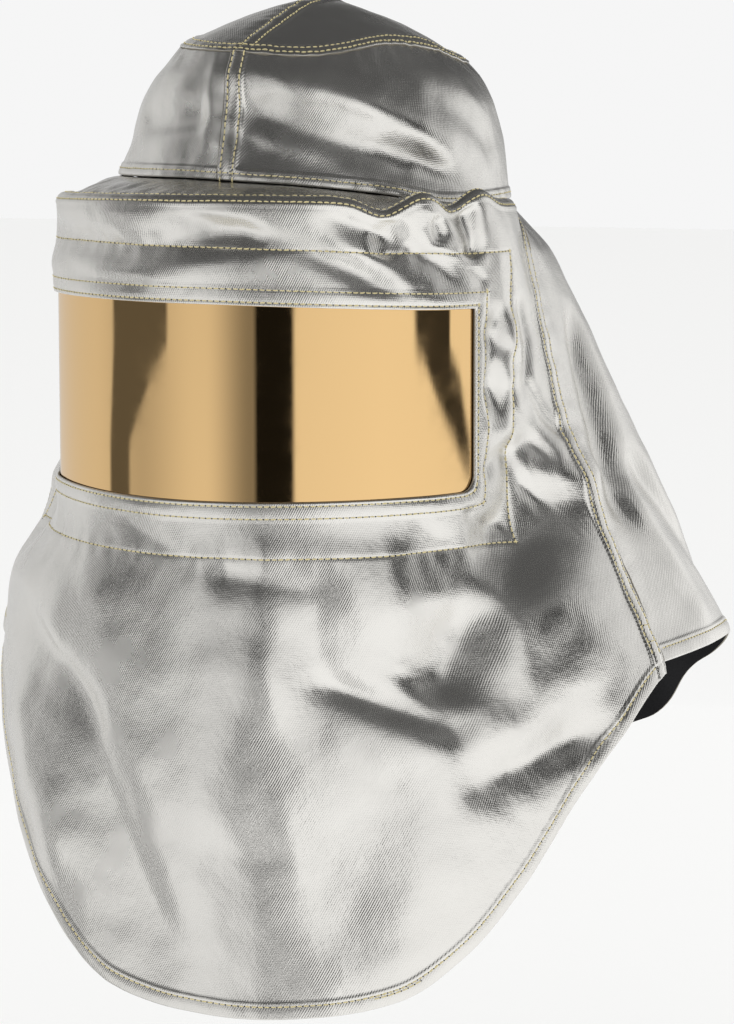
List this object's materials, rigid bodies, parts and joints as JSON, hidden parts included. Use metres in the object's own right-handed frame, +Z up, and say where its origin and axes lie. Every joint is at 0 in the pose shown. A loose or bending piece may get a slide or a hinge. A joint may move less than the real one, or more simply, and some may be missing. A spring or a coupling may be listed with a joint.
{
  "type": "aluminized protective hood",
  "caption": "Aluminized cloth hood with a lapped crown, short brim, gold visor window, long rounded bib and back cape, for work near radiant heat.",
  "frame": {"origin": "inside of the crown's top, where the wearer's head or hard hat carries the hood", "axes": "+Z up, the wearer faces -Y, the wearer's left is +X"},
  "size_m": [0.5012, 0.434, 0.62],
  "materials": {
    "aluminized_twill": "satin aluminized outer face",
    "gold_lens": "gold coated mirror lens"
  },
  "bodies": {
    "root": {"crown_top_left": "aluminized_twill", "crown_top_right": "aluminized_twill", "crown_side_left": "aluminized_twill", "crown_side_right": "aluminized_twill", "brim": "aluminized_twill", "front_panel": "aluminized_twill", "back_panel": "aluminized_twill", "visor": "gold_lens"}
  },
  "joints": []
}
